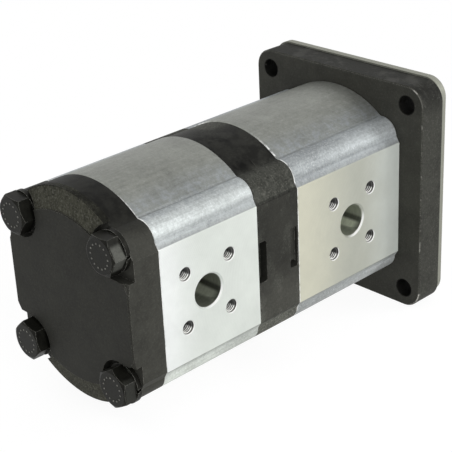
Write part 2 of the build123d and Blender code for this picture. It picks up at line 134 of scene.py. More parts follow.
# %% [markdown]
# ## Writing shaders as sums
#
# A finish is a small program: it mixes noise, distances and colours. Built node by node it is hard to
# read, so three small classes help. `Value` wraps an output socket and overloads the operators, so
# that `1 - mask * 0.5` adds the two Math nodes it needs.

# %% Screen colours, and values for sums


def linear(red, green, blue):
    """A colour picked on screen (0 to 255) as the linear light that shaders work in."""
    def channel(value):
        value /= 255
        return value / 12.92 if value <= 0.04045 else ((value + 0.055) / 1.055) ** 2.4
    return (channel(red), channel(green), channel(blue), 1.0)


def both_ways(operation):
    """The methods of one operator: for a value that comes first, and for one after a number."""
    return (lambda value, other: value.math(operation, value, other),
            lambda value, other: value.math(operation, other, value))


class Value:
    """An output socket that can be used in sums as a number can."""

    __add__, __radd__ = both_ways("ADD")
    __sub__, __rsub__ = both_ways("SUBTRACT")
    __mul__, __rmul__ = both_ways("MULTIPLY")
    __truediv__, __rtruediv__ = both_ways("DIVIDE")

    def __init__(self, shading, socket):
        self.shading = shading
        self.socket = socket

    def math(self, operation, *terms):
        """Add one Math node whose terms are given in order."""
        return self.shading.node("ShaderNodeMath", {"operation": operation}, dict(enumerate(terms)))

    def __abs__(self):
        return self.math("ABSOLUTE", self)

    def least(self, other):
        """The smaller of two values."""
        return self.math("MINIMUM", self, other)

    def most(self, other):
        """The larger of two values."""
        return self.math("MAXIMUM", self, other)

    def sine(self):
        """The sine of an angle in radians."""
        return self.math("SINE", self)

    def rise(self, start, end):
        """0 below start, 1 above end, and a soft step between them; start may lie above end."""
        return self.shading.node("ShaderNodeMapRange", {"interpolation_type": "SMOOTHSTEP"},
                                 {"Value": self, "From Min": start, "From Max": end})


print("204 on screen is", round(linear(204, 204, 204)[0], 3), "in linear light")

# %% [markdown]
# ### Any node, from one helper
#
# `add` makes every kind of node in the same order: first its type, then its settings, then the values
# or links of its sockets. The order matters, because a setting such as a Mix node's data type decides
# which sockets there are. `Shading` is a shader tree, a material's or the world's, and its `node`
# method gives an output of what it made as a `Value`.

# %% Nodes and shader trees


def feed(tree, socket, value):
    """Link an output to a socket, or set the socket's own value."""
    value = value.socket if isinstance(value, Value) else value
    if isinstance(value, bpy.types.NodeSocket):
        tree.links.new(value, socket)
    else:
        socket.default_value = value


def add(tree, kind, settings=None, sockets=None):
    """Add a node of a kind to a tree, with its settings and its sockets' values or links."""
    made = tree.nodes.new(kind)
    for name, setting in (settings or {}).items():
        setattr(made, name, setting)
    for name, value in (sockets or {}).items():
        feed(tree, made.inputs[name], value)
    return made


class Shading:
    """A shader tree, built node by node."""

    def __init__(self, tree):
        self.tree = tree

    def node(self, kind, settings=None, sockets=None, output=0):
        """Make a node, and give one of its outputs, or the node itself if output is None."""
        made = add(self.tree, kind, settings, sockets)
        return made if output is None else Value(self, made.outputs[output])

    def seen_directly(self):
        """1 for a ray from the camera, a mirror or glass, and 0 for light that falls on things."""
        rays = self.node("ShaderNodeLightPath", output=None).outputs
        names = ("Is Camera Ray", "Is Glossy Ray", "Is Transmission Ray")
        camera, mirror, glass = (Value(self, rays[name]) for name in names)
        return camera.most(mirror).most(glass)


# %% [markdown]
# ### One material
#
# `Finish` is the shading of one material. Its places are the object's own coordinates in millimetres,
# so a grain keeps its real size and its place when a part turns; `across` and `up` are distances from
# the middle of the section. For wear and for painted edge highlights it knows how near an edge is: a
# Bevel node bends the normal there, and the angle to the plain normal is the mask.

# %% Material helper


class Finish(Shading):
    """One procedural material."""

    def __init__(self, name):
        self.material = bpy.data.materials.new(name)
        self.material.use_nodes = True
        super().__init__(self.material.node_tree)
        self.shader = self.tree.nodes["Principled BSDF"]
        place = self.node("ShaderNodeTexCoord", output="Object")
        self.place = self.node("ShaderNodeVectorMath", {"operation": "SCALE"},
                               {"Vector": place, "Scale": 1 / mm})
        parts = self.node("ShaderNodeSeparateXYZ", {}, {"Vector": self.place}, output=None)
        self.x, self.y, self.z = (Value(self, socket) for socket in parts.outputs)
        self.above = self.z - centre_z
        self.across, self.up = abs(self.x), abs(self.above)

    def noise(self, per_mm, detail=3.0, roughness=0.6, stretch=(1, 1, 1), offset=(0, 0, 0)):
        """Noise of a number of lumps per millimetre, which may be stretched along an axis."""
        where = self.node("ShaderNodeMapping", {},
                          {"Vector": self.place, "Location": offset, "Scale": stretch})
        return self.node("ShaderNodeTexNoise", {}, {
            "Vector": where, "Scale": per_mm, "Detail": detail, "Roughness": roughness})

    def blend(self, first, second, mask):
        """The first colour where the mask is 0, and the second where it is 1."""
        mixed = self.node("ShaderNodeMix", {"data_type": "RGBA"}, {"Factor": mask}, output=None)
        feed(self.tree, mixed.inputs[6], first)
        feed(self.tree, mixed.inputs[7], second)
        return Value(self, mixed.outputs[2])

    def shade(self, colour, amount):
        """A colour made lighter or darker by a factor."""
        colour = colour if isinstance(colour, Value) else colour[:3]
        return self.node("ShaderNodeVectorMath", {"operation": "SCALE"},
                         {"Vector": colour, "Scale": amount})

    def length(self, *legs):
        """The length of a line whose legs are at right angles."""
        total = legs[0] * legs[0]
        for leg in legs[1:]:
            total = total + leg * leg
        return total.math("SQRT", total)

    def rounded(self, radius):
        """The normal as if edges were rounded, and a mask of how near an edge is."""
        soft = self.node("ShaderNodeBevel", {"samples": 6}, {"Radius": radius * mm})
        plain = self.node("ShaderNodeNewGeometry", output="Normal")
        agreement = self.node("ShaderNodeVectorMath", {"operation": "DOT_PRODUCT"},
                              {0: soft, 1: plain}, output="Value")
        return soft, (1 - agreement).rise(0.02, 0.16)

    def bump(self, height, distance, normal=None):
        """Turn a height from 0 to 1 into a bumpy normal; distance is that 1 in millimetres."""
        sockets = {"Height": height, "Distance": distance * mm}
        if normal is not None:
            sockets["Normal"] = normal
        return self.node("ShaderNodeBump", {}, sockets)

    def finish(self, **sockets):
        """Feed the shader's sockets, named in plain words, and give the material."""
        for name, value in sockets.items():
            label = name.replace("_", " ").title().replace("Ior", "IOR")
            feed(self.tree, self.shader.inputs[label], value)
        print(self.material.name, len(self.tree.nodes), "nodes")
        return self.material


# %% [markdown]
# ## Finding the way round the section
#
# Seen along the shaft, every housing piece has the same outline: a round crown above and below, a
# smaller lobe round each bolt, and a crease where the two circles meet. Much of the skin follows it.
# It could be painted as vertex colours, but worked out from the circles it stays sharp on any mesh.

# %% Crowns, lobes and the crease
crown_radius = 45.6
crown_centre_z = (front_high.z - front_low.z) / 2 - crown_radius
lobe_radius = 8.4


def crease_place():
    """Where the crown's circle meets a lobe's, in the upper right quarter of the section."""
    dx = bolt_x
    dz = bolt_z - crown_centre_z
    apart = math.hypot(dx, dz)
    along = (crown_radius ** 2 - lobe_radius ** 2 + apart ** 2) / (2 * apart)
    off = math.sqrt(crown_radius ** 2 - along ** 2)
    return (along * dx - off * dz) / apart, crown_centre_z + (along * dz + off * dx) / apart


crease_x, crease_z = crease_place()


def near_lobe(finish, inner, outer):
    """1 within the inner distance of a bolt's axis, and 0 beyond the outer one."""
    return finish.length(finish.across - bolt_x, finish.up - bolt_z).rise(outer, inner)


def on_crown(finish, radius):
    """1 on the crown, where the section is an arc, and 0 on the corners, the flats and inside."""
    up = finish.up - crown_centre_z
    on_arc = finish.length(finish.x, up).rise(radius - 0.5, radius - 0.15)
    return on_arc * finish.across.rise(crease_x + 4.0, crease_x - 4.0)


print("crease at x", round(crease_x, 2), "and", round(crease_z, 2), "from the middle")

# %% [markdown]
# ## Cast iron, phosphated
#
# The cover, the joining plate and the flange are grey iron castings, phosphated to a dark brownish
# grey. Where a face was machined the coating lies smooth and mottled; where the casting was left as
# it came from the sand it is grainy, with light specks on the tops of the grains. Edges rub through
# to a lighter grey. One function makes all three, and each casting hands it a mask of its rough skin
# and its own last touches.

# %% Cast iron
iron_machined = linear(51, 51, 47)
iron_brown = linear(68, 68, 59)
iron_grey = linear(70, 71, 66)
iron_worn = linear(146, 145, 138)
iron_speck = linear(140, 139, 130)


def cast_iron(name, rough_skin, rough_colour, extra):
    """Phosphated iron with a rough cast skin where rough_skin(finish) says so."""
    finish = Finish(name)
    rough = rough_skin(finish)
    soft, edge = finish.rounded(0.25)
    blotch = finish.noise(0.09, 4.0, 0.6)
    grain = finish.noise(0.9, 5.0, 0.7)
    specks = finish.noise(1.2, offset=(7, 3, 5)).rise(0.50, 0.72)
    mottle = finish.noise(0.3, offset=(5, 5, 2))
    tone = 1 + (blotch - 0.5) + (grain - 0.5) * (0.7 + rough * 1.9)
    tone += (mottle - 0.5) * rough * 1.2
    colour = finish.shade(finish.blend(iron_machined, rough_colour, rough), tone)
    colour = finish.blend(colour, iron_speck, specks * (0.04 + rough * 0.32))
    wear = edge * grain.rise(0.42, 0.58) * 0.8
    colour = finish.blend(colour, iron_worn, wear)
    roughness = 0.58 + rough * 0.16 + (blotch - 0.5) * 0.16
    height = grain * (0.2 + rough * 0.8)
    colour, roughness, height = extra(finish, colour, roughness, height)
    return finish.finish(base_color=colour, roughness=roughness, metallic=0.15,
                         normal=finish.bump(height, 0.2, soft), specular_ior_level=0.09)


def thick_coating(finish):
    """Blotches where the phosphate lies thickest."""
    return finish.noise(0.13, offset=(3, 3, 8)).rise(0.40, 0.62)


# %% [markdown]
# ### The rear cover
#
# Its raised face was machined, and so were its sides. Only the two shoulders outside the face, above
# and below, are as cast. The face ends on an arc, so the rough mask is the distance from that arc's
# centre, kept near the rear and out of the bolt pockets.

# %% Cover
face_arc_radius = 44.5
face_arc_centre_z = 38.4 - face_arc_radius
shoulder_depth = 6.0
pocket_radius = 11.2
shoulder_half_width = 32.0


def cover_skin(finish):
    """The shoulders outside the raised face, near the rear, are left as cast."""
    up = finish.up - face_arc_centre_z
    outside = finish.length(finish.x, up).rise(face_arc_radius - 0.05, face_arc_radius + 0.15)
    shoulder_y = cover_low.y + shoulder_depth
    near_rear = finish.y.rise(shoulder_y + 0.5, shoulder_y - 0.5)
    pocket = near_lobe(finish, pocket_radius, pocket_radius + 0.2)
    off_side = finish.across.rise(shoulder_half_width + 1, shoulder_half_width - 1)
    return outside * near_rear * (1 - pocket) * off_side


def crown_shade_and_lit_sides(finish, colour, roughness, height):
    """Painted shade on the round top and bottom, deeper in blotches, and painted light on the sides."""
    # Painted shade: the crown is darkened, more deeply in the blotches.
    tone = 0.95 - on_crown(finish, crown_radius) * (0.45 + thick_coating(finish) * 0.30)
    off_face = finish.y.rise(cover_low.y + 0.2, cover_low.y + 0.8)
    # Painted light: the side faces are made lighter.
    on_side = off_face * finish.across.rise(bolt_x + 2, bolt_x + 6)
    return finish.shade(colour, tone + on_side * 0.5), roughness, height


cover_iron = cast_iron("cast_iron_cover", cover_skin, iron_brown, crown_shade_and_lit_sides)

# %% [markdown]
# ### The plate between the bodies
#
# Its corners kept the sand's grain; its flat sides and its crown were ground. The halves of the mould
# met half way along, and left a low broken line on the corners and a change of tone on the crown.
# The line could be a thin raised mesh, but it is lower than a hair, so bump and lighter colour do.

# %% Plate
plate_crown_radius = 45.1
port_flat_half = 27.8
recess_half = 10.8


def pale_grainy_crown(finish):
    """1 where the crown is paler and grainier: left of the middle, towards the front body."""
    towards_front = finish.y.rise(plate_low.y + 5, plate_high.y - 6)
    return on_crown(finish, plate_crown_radius) * finish.x.rise(5, -5) * towards_front


def plate_skin(finish):
    """The plate's round corners are left as cast, and its flat sides are machined."""
    beyond_crease = finish.across.rise(crease_x - 3.0, crease_x + 0.5)
    on_corner = near_lobe(finish, 10.5, 13.0) * beyond_crease
    on_flat = finish.across.rise(side_x - 0.3, side_x - 0.05)
    patches = finish.noise(0.10, offset=(2, 9, 4)).rise(0.50, 0.62)
    on_round = (on_corner * 0.75 + patches * 0.2 + pale_grainy_crown(finish) * 0.6).least(1.0)
    return on_round * (1 - on_flat) + on_flat * patches * 0.25


def plate_shade_and_tone(finish, from_parting, wander):
    """Painted shade on the crown and in the recess, painted light below, darker by the flats' edges."""
    crown = on_crown(finish, plate_crown_radius)
    to_left = finish.x.rise(8, -16)
    # Painted shade on the crown, less of it on the left side.
    tone = 1.02 - crown * (0.36 + thick_coating(finish) * 0.45) * (1 - to_left * 0.7)
    tone += (from_parting.rise(-0.6, 0.6) - 0.7) * crown * 0.22
    # Painted light on the lower half; the pale grainy patch on the crown is lighter too.
    tone += finish.above.rise(0.0, -25.0) + pale_grainy_crown(finish) * 0.4
    # Darker along the edges of the flats.
    flat_edge = abs(finish.up - port_flat_half - 0.6 + wander * 0.4).rise(0.9, 0.3)
    tone *= 1 - flat_edge * finish.across.rise(side_x - 2.5, side_x - 1.5) * 0.45
    # Painted shade in the recess near the rear.
    in_recess = (finish.across - side_x).rise(-0.15, -0.5)
    in_recess *= finish.up.rise(recess_half + 0.2, recess_half - 0.2)
    near_rear = finish.y.rise(plate_low.y + 10, plate_low.y + 6)
    return tone * (1 - in_recess * near_rear * 0.35)


def plate_parting(finish, colour, roughness, height):
    """The moulds met half way through the plate: a fine low line, ground away from the crown."""
    wander = (finish.noise(0.12, 2.0, 0.5) - 0.5) * 1.2
    from_parting = finish.y - (plate_low.y + plate_high.y) / 2 + wander
    broken = finish.noise(0.15, 2.0, 0.5, offset=(4, 4, 1)).rise(0.40, 0.56)
    line = abs(from_parting).rise(0.5, 0.1) * broken * near_lobe(finish, 9.0, 16.0)
    # The plate's tone goes on here, with its painted shade and painted light.
    colour = finish.shade(colour, plate_shade_and_tone(finish, from_parting, wander))
    return finish.blend(colour, iron_worn, line * 0.06), roughness, height + line * 0.4


plate_iron = cast_iron("cast_iron_plate", plate_skin, iron_grey, plate_parting)

# %% [markdown]
# ### The mounting flange
#
# A broad smooth plate, with painted shade in its four holes and on top and painted light on its rear
# face. A painted highlight runs round the rear edge's corners, with scratches beside them. The strip
# round the mounting face is bare machined iron. It is part of the same casting, so a mask along Y
# gives it its pale colour, not a piece of its own.

# %% Flange
iron_band = linear(150, 151, 140)
iron_highlight_and_scratch = linear(205, 204, 196)
band_thickness = 3.5
flange_back = flange_low.y
flange_arc_radius = 9.5
flange_arc_x = flange_high.x - flange_arc_radius
flange_arc_z = centre_z - flange_low.z - flange_arc_radius


def flange_skin(finish):
    """Only the flange's edge all round keeps a faint cast skin."""
    return finish.across.most(finish.up * 0.93).rise(51.0, 52.2) * 0.25


def inside_flange_holes(finish):
    """1 on the walls of the four mounting holes."""
    dims = mounts["flange_bolts"]["dims"]
    across = finish.across - dims["spacing_x_mm"] / 2
    up = finish.up - dims["spacing_y_mm"] / 2
    hole_radius = dims["hole_r_mm"]
    return finish.length(across, up).rise(hole_radius + 0.4, hole_radius + 0.1)


def flange_highlight_and_scratches(finish, on_top):
    """Painted highlight on the rear edge's corners, scratches beside them, and pale smears on top."""
    beyond_x = (finish.across - flange_arc_x).most(0.0)
    beyond_z = (finish.up - flange_arc_z).most(0.0)
    from_arc = finish.length(beyond_x, beyond_z)
    outline = from_arc.rise(flange_arc_radius - 0.8, flange_arc_radius - 0.5)
    corner = beyond_x.rise(0.5, 4.0) * beyond_z.rise(-0.1, 1.5)
    # This noise breaks up the painted highlight on the rear edge.
    rubbed = finish.noise(0.15, 4.0, 0.65, offset=(6, 1, 7)).rise(0.50, 0.62)
    rear_edge = outline * finish.y.rise(flange_back + 0.45, flange_back + 0.20)
    # Painted highlight along the rear edge, strongest at the corners.
    worn = rubbed * 0.3 * beyond_x.rise(4.0, 8.5) + corner * (0.12 + rubbed * 0.5)
    scratch = finish.noise(0.5, 3.0, 0.7, stretch=(0.35, 2.0, 1.0), offset=(1, 5, 3))
    smear = finish.noise(0.08, 4.0, 0.7, offset=(9, 2, 6)).rise(0.50, 0.66) * on_top
    scratched = scratch.rise(0.60, 0.72) * corner * 0.2
    return (rear_edge * worn).most(scratched).most(smear * 0.05)


def flange_band(finish, colour, roughness, height):
    """Bare machined strip round the face; painted shade in the holes and on top, painted light behind.
    """
    off_back = finish.y.rise(flange_back + 0.2, flange_back + 0.8)
    on_top = finish.z.rise(flange_low.z + 96.0, flange_low.z + 110.0) * off_back
    on_back = finish.y.rise(flange_back + 0.4, flange_back + 0.1)
    # Painted shade in the four holes and on top, painted light on the rear face.
    tone = (1 - inside_flange_holes(finish) * 0.8) * (1.18 + on_back * 0.28 - on_top * 0.64)
    colour = finish.blend(finish.shade(colour, tone), iron_highlight_and_scratch, flange_highlight_and_scratches(finish, on_top))
    band = finish.y.rise(-band_thickness - 0.12, -band_thickness + 0.12)
    lines = finish.noise(1.0, 2.0, 0.5, stretch=(0.15, 4.0, 0.15))
    # Painted light: the pale band is made lighter on top.
    pale = finish.shade(iron_band, 0.80 + lines * 0.30 + on_top * 0.15)
    return finish.blend(colour, pale, band), roughness - band * 0.12, height


flange_iron = cast_iron("cast_iron_flange", flange_skin, iron_grey, flange_band)

# %% [markdown]
# ## Finding the way round a port
#
# Each port is a bore with four tapped holes round it, wider apart on the suction side than on the
# pressure side. The aluminium and the threads both need to know where in a hole a place is, so that
# painted light goes on the lower walls and painted shade on the upper ones. The record's mounts give
# the spacings.

# %% Places in the tapped holes


def off_nearest(offset, half):
    """An offset from the middle, counted from the nearer of two places at half on either side."""
    return offset - (offset.rise(-1, 1) * 2 - 1) * half


def within_tapped_hole(finish):
    """How far a place is from the nearest tapped hole's axis, how far along Y and how far above."""
    rear_y = mounts["rear_pressure_port"]["pos_m"][1] / mm
    front_y = mounts["front_pressure_port"]["pos_m"][1] / mm
    near_half = mounts["rear_pressure_bolts"]["dims"]["spacing_x_mm"] / 2
    far_half = mounts["rear_suction_bolts"]["dims"]["spacing_x_mm"] / 2
    half = near_half + finish.x.rise(1, -1) * (far_half - near_half)
    port_y = rear_y + finish.y.rise(plate_low.y, plate_high.y) * (front_y - rear_y)
    along = off_nearest(finish.y - port_y, half)
    above = off_nearest(finish.above, half)
    return finish.length(along, above), along, above


# %% [markdown]
# ## Extruded aluminium, with milled faces
#
# Both bodies are cut from one extruded bar. The extruded skin is satin grey, with fine streaks along
# the bar and sandy sparkle on the corner lobes. Painted light goes on the lobes, and painted shade
# along the crease where a lobe meets the crown and beside the flats. The port faces were milled
# afterwards, and are much paler. Two materials would need the mesh's faces sorted; instead a mask
# that is 1 on the milled planes picks between two looks in one material.

# %% What a body's looks share
port_reach = 11.4
flat_edge_x = 37.4
cutter_offset = 60
cutter_waves_per_mm = 7.0


class BodyFinish(Finish):
    """The finish of one body, with its places in millimetres, its masks and its grains."""

    def __init__(self, name, node, port):
        super().__init__(name)
        self.low, self.high = box_mm(node)
        self.along_port = self.y - mounts[port]["pos_m"][1] / mm
        self.depth = side_x - self.across
        from_port = self.length(self.along_port, self.above)
        self.near_port = from_port.rise(port_reach, port_reach - 0.2)
        chamfer = self.near_port * self.depth.rise(1.0, 0.8)
        self.milled = self.depth.rise(0.35, 0.1).most(chamfer)
        self.inside_bore = self.near_port * (1 - self.milled)
        on_corner = self.across.rise(crease_x - 1.5, crease_x + 1.0)
        self.lobe = near_lobe(self, 8.5, 11.0) * on_corner
        beside = self.across.rise(flat_edge_x - 0.5, flat_edge_x + 0.5)
        self.beside_flat = beside * (1 - self.milled)
        self.streak = self.noise(0.8, 4.0, 0.6, stretch=(1.2, 0.03, 1.2))
        self.cloud = self.noise(0.05, 4.0, 0.6, offset=(1, 6, 2))
        self.mottle = self.noise(0.28, 4.0, 0.65, offset=(4, 8, 6))
        self.sand = self.noise(0.8, 5.0, 0.75)
        from_cutter = self.length(self.along_port + cutter_offset, self.above)
        self.cutter = (from_cutter * cutter_waves_per_mm).sine() * 0.5 + 0.5


# %% The extruded skin
skin_grey = linear(136, 138, 132)
skin_shadow = linear(142, 147, 150)
skin_sparkle = linear(235, 238, 240)
crease_shade_grey = linear(84, 84, 82)


def extruded_skin(body, lobe_light_tones, lobe_light_drift):
    """Streaked, sandy skin from the die; painted light on the lobes, painted shade by crease and flats.
    """
    tone = 1 + (body.streak - 0.5) * (0.45 + body.lobe * 0.12) + (body.cloud - 0.5) * 0.6
    tone += (body.mottle - 0.5) * (0.5 - body.lobe * 0.1)
    tone += (body.sand - 0.5) * (0.9 + body.lobe * 0.25)
    # Painted light on the lobes: a highlight, lighter on the lower lobes and changing along the body.
    upper = body.above.rise(-8.0, 8.0)
    along_lobe = 1 + (body.y.rise(body.low.y, body.high.y) - 0.5) * lobe_light_drift
    lobe_colour = body.shade(body.blend(lobe_light_tones[1], lobe_light_tones[0], upper), along_lobe)
    skin = body.shade(body.blend(skin_grey, lobe_colour, body.lobe), tone)
    shadow = body.shade(skin_shadow, tone)
    # Painted shade in a band along the crease, reaching into the lobe.
    by_crease_shade = body.across.rise(crease_x - 13, crease_x - 2)
    by_crease_shade *= body.across.rise(crease_x + 7.5, crease_x + 2.0)
    by_crease_shade *= 0.35 + body.mottle.rise(0.45, 0.60) * 0.4
    skin = body.blend(skin, shadow, by_crease_shade)
    # Painted glints: near-white sparkle, most of it on the lobes.
    sparkle = body.noise(1.1, offset=(5, 2, 9)).rise(0.54, 0.68)
    skin = body.blend(skin, skin_sparkle, sparkle * (0.05 + body.lobe * 0.28))
    # Painted shade beside the flats.
    skin = body.blend(skin, shadow, body.beside_flat * (0.15 + upper * 0.32))
    # Painted shade: a fine dark line in the crease.
    crease_shade_line = body.length(body.across - crease_x, body.up - crease_z).rise(0.9, 0.3)
    return body.blend(skin, crease_shade_grey, crease_shade_line * body.streak.rise(0.30, 0.60) * 0.5)


# %% The milled faces


def milled_face(body, tones, drift):
    """Milled metal: its tone shifts twice along the body, and the cutter left faint arcs."""
    shift_wander = body.noise(0.035, 4.0, 0.65, offset=(8, 3, 1))
    from_rear = body.y - body.low.y + shift_wander * 16 - 8
    face = body.blend(tones[0], tones[1], from_rear.rise(drift[0], drift[1]))
    face = body.blend(face, tones[2], from_rear.rise(drift[1], drift[2]))
    tone = 1 + (body.cloud - 0.5) * 0.24 + (body.mottle - 0.5) * 0.08
    return body.shade(face, tone + (body.cutter - 0.5) * 0.015)


# %% [markdown]
# ### Ports and tapped holes in the aluminium
#
# A bore's wall shows a dark band across its middle, a lit patch below it and the scored arc that a
# drill left. A true reflection would need the room that it mirrors, so the bands are part of the
# colour and follow the height in the bore. The chamfers' rims get a painted highlight.

# %% Port walls, tapped holes and rims
bore_grey = linear(192, 197, 180)
thread_shade = linear(110, 108, 102)
rim_light = linear(252, 252, 250)


def bore_shade(body):
    """How light a port's wall is: a dark band half way down, a lit patch and a scored arc."""
    above = body.above
    band = above.rise(-0.4, -2.0)
    patch = above.rise(-3.0, -4.4) * above.rise(-7.0, -6.0) * body.depth.rise(0.5, 5.0)
    arc = abs(above + 5.7 + body.depth * 0.17).rise(0.45, 0.15) * patch
    scored = body.noise(0.9, stretch=(1.0, 0.25, 0.25))
    lowest = above.rise(-5.8, -7.0)
    light = 0.62 - band * 0.42 + patch * 1.1 - arc * 0.45 + lowest * 0.35
    return light * (0.65 + scored * 0.7)


def with_holes(body, colour, bore_light):
    """Paint light and shade on the port's and tapped holes' walls, and a highlight on their rims."""
    depth = body.depth
    wall = body.shade(bore_grey, bore_shade(body) * bore_light)
    colour = body.blend(colour, wall, body.inside_bore)
    from_hole, along_hole, above_hole = within_tapped_hole(body)
    inside_hole = depth.rise(0.35, 0.45) * from_hole.rise(3.4, 3.2)
    # Painted shade deeper in and on the upper walls of the tapped holes, painted light low down.
    lower = above_hole.rise(-0.6, -1.6)
    hole_shade = (depth.rise(3.2, 0.6) * 0.97 + 0.03) * (0.25 + lower * 1.3)
    colour = body.blend(colour, body.shade(thread_shade, hole_shade), inside_hole)
    # Painted highlight on one side of each rim of the port and of the tapped holes.
    port_rim = body.near_port * depth.rise(0.06, 0.14) * depth.rise(0.95, 0.75)
    port_rim *= (body.along_port - body.above).rise(4, 10)
    hole_rim = from_hole.rise(3.7, 3.5) * depth.rise(0.03, 0.10) * depth.rise(0.46, 0.36)
    hole_rim *= (along_hole - above_hole).rise(-1.0, 2.0)
    return body.blend(colour, rim_light, port_rim.most(hole_rim) * 0.8)


# %% [markdown]
# ### The two bodies' aluminium
#
# One function puts skin, faces and holes together, and paints a highlight on the chamfers at a body's
# ends and faintly along its edges. The bodies differ only in the tones that it is given; the lobe
# tones and the bore's lightness among them are painted light.

# %% Both bodies
edge_highlight = linear(240, 241, 239)


def aluminium(name, node, port, lobe_light_tones, lobe_light_drift, milled_tones, drift, bore_light):
    """Extruded skin with milled faces, whose tone shifts at given distances from the rear end."""
    body = BodyFinish(name, node, port)
    soft, edge = body.rounded(0.15)
    skin = extruded_skin(body, lobe_light_tones, lobe_light_drift)
    face = milled_face(body, milled_tones, drift)
    milled = body.milled
    colour = with_holes(body, body.blend(skin, face, milled), bore_light)
    # Painted highlight on the chamfers at both ends, broken up, and faintly along every edge.
    chamfered = (body.y - body.low.y).least(body.high.y - body.y).rise(0.55, 0.40)
    bright = chamfered * (body.across.rise(8.0, 24.0) * body.mottle.rise(0.38, 0.55))
    colour = body.blend(colour, edge_highlight, (edge * 0.2).most(bright * 0.85))
    roughness = (0.50 + (body.sand - 0.5) * 0.3) * (1 - milled)
    roughness += milled * (0.50 + (body.cloud - 0.5) * 0.12) - body.inside_bore * 0.12
    metallic = 0.60 - body.lobe * 0.10 - body.beside_flat * 0.2 - milled * 0.50
    metallic = (metallic - body.inside_bore * 0.10).most(bright)
    height = (body.streak * 0.3 + body.sand * 0.7) * (1 - milled) + body.cutter * 0.06 * milled
    return body.finish(base_color=colour, roughness=roughness, metallic=metallic,
                       normal=body.bump(height, 0.2, soft), specular_ior_level=0.3)


rear_aluminium = aluminium(
    "aluminium_rear_body", "rear_body", "rear_pressure_port",
    lobe_light_tones=(linear(190, 195, 194), linear(199, 204, 197)), lobe_light_drift=-0.28,
    milled_tones=(linear(236, 239, 237), linear(216, 221, 215), linear(216, 221, 215)),
    drift=(0, 24, 40), bore_light=0.76)
front_aluminium = aluminium(
    "aluminium_front_body", "front_body", "front_pressure_port",
    lobe_light_tones=(linear(172, 177, 178), linear(168, 172, 171)), lobe_light_drift=0.45,
    milled_tones=(linear(204, 203, 185), linear(176, 178, 167), linear(202, 207, 201)),
    drift=(2, 40, 68), bore_light=1.22)

# %% [markdown]
# ## Steels and bronze
#
# The bolts are blackened, with the black rubbed off their corners and off the flats that a spanner
# held. Shafts and gears are hardened and ground. The nut, its washer and the circlip are plated.
# Inside there are bronze bushes and turned aluminium blocks. All of these are one metal with a fine
# grain, so one function with a few arguments makes them.

# %% Steels and bronze
rubbed_steel = linear(86, 87, 82)
head_flat_from = 5.6
head_flat_to = 6.8
lathe_waves_per_mm = 18.0


def spanner_marks(finish):
    """1 on the bolt heads' outward flats, where a spanner rubbed them; less on the lower bolts."""
    outward = (finish.across - bolt_x).rise(head_flat_from, head_flat_to)
    from_face = finish.y - bolts_low.y
    along_head = from_face.rise(0.6, 1.2) * from_face.rise(6.2, 5.6)
    return outward * along_head * (0.25 + finish.above.rise(-5, 5) * 0.75)


def turned_metal(name, colour, worn, roughness, metallic=1.0, wear=0.5, grain=0.2, rings=False,
                 shine=0.3, rubbed=None):
    """A worked metal: worn edges, a fine grain, and a lathe's rings round the shaft if asked for."""
    finish = Finish(name)
    soft, edge = finish.rounded(0.3)
    cloud = finish.noise(0.25, 3.0, 0.55)
    fine = finish.noise(1.4, 4.0, 0.65)
    tone = 1 + (cloud - 0.5) * grain + (fine - 0.5) * grain
    shade = finish.shade(colour, tone)
    if rubbed is not None:
        shade = finish.blend(shade, rubbed_steel, rubbed(finish) * (0.4 + fine * 0.9))
    shade = finish.blend(shade, worn, edge * fine.rise(0.30, 0.60) * wear)
    height = fine
    if rings:
        from_shaft = finish.length(finish.x, finish.z)
        height = height * 0.5 + (from_shaft * lathe_waves_per_mm).sine() * 0.25
    return finish.finish(base_color=shade, roughness=roughness + (cloud - 0.5) * 0.14,
                         metallic=metallic, normal=finish.bump(height, 0.02, soft),
                         specular_ior_level=shine)


rubbed_mark = turned_metal("rubbed_marks", linear(104, 104, 98), linear(190, 190, 184), 0.38,
                           metallic=0.7, wear=0.9, grain=0.9)
ground_steel = turned_metal("ground_steel", linear(190, 191, 192), linear(225, 225, 225), 0.26,
                            grain=0.12, rings=True)
slot_finish = {
    "black_steel": turned_metal(
        "blackened_steel", linear(27, 27, 23), linear(170, 170, 162), 0.46, metallic=0.4, wear=0.7,
        grain=1.6, shine=0.14, rubbed=spanner_marks),
    "hardened_steel": ground_steel,
    "plated_steel": turned_metal(
        "plated_steel", linear(186, 187, 180), linear(220, 220, 214), 0.34),
    "block_aluminium": turned_metal(
        "block_aluminium", linear(196, 197, 197), linear(228, 228, 228), 0.34, grain=0.12),
    "bush_bronze": turned_metal(
        "bush_bronze", linear(176, 148, 98), linear(214, 190, 140), 0.32),
}

# %% [markdown]
# ## Rubber and plastic
#
# The seals are black nitrile rubber, and the strips behind them are off-white plastic. Both come from
# a mould and nothing on them is worn, so noise in the colour and a very low bump are enough.

# %% Rubber and plastic


def moulded(name, colour, roughness):
    """Rubber or plastic from a mould, with a faint bloom."""
    finish = Finish(name)
    bloom = finish.noise(0.4, 4.0, 0.6)
    pores = finish.noise(4.0, 2.0, 0.5)
    return finish.finish(base_color=finish.shade(colour, 0.8 + bloom * 0.4),
                         normal=finish.bump(pores, 0.02), roughness=roughness + (bloom - 0.5) * 0.2)


slot_finish["seal_rubber"] = moulded("nitrile_rubber", linear(34, 34, 34), 0.55)
slot_finish["backup_plastic"] = moulded("backup_plastic", linear(226, 222, 208), 0.45)
print("slots with a finish:", len(slot_finish))

# %% [markdown]
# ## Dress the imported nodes
#
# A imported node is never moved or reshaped; it only gets a material. Most nodes go by the slot that
# the record gives them, and the five big housing pieces have a finish of their own.

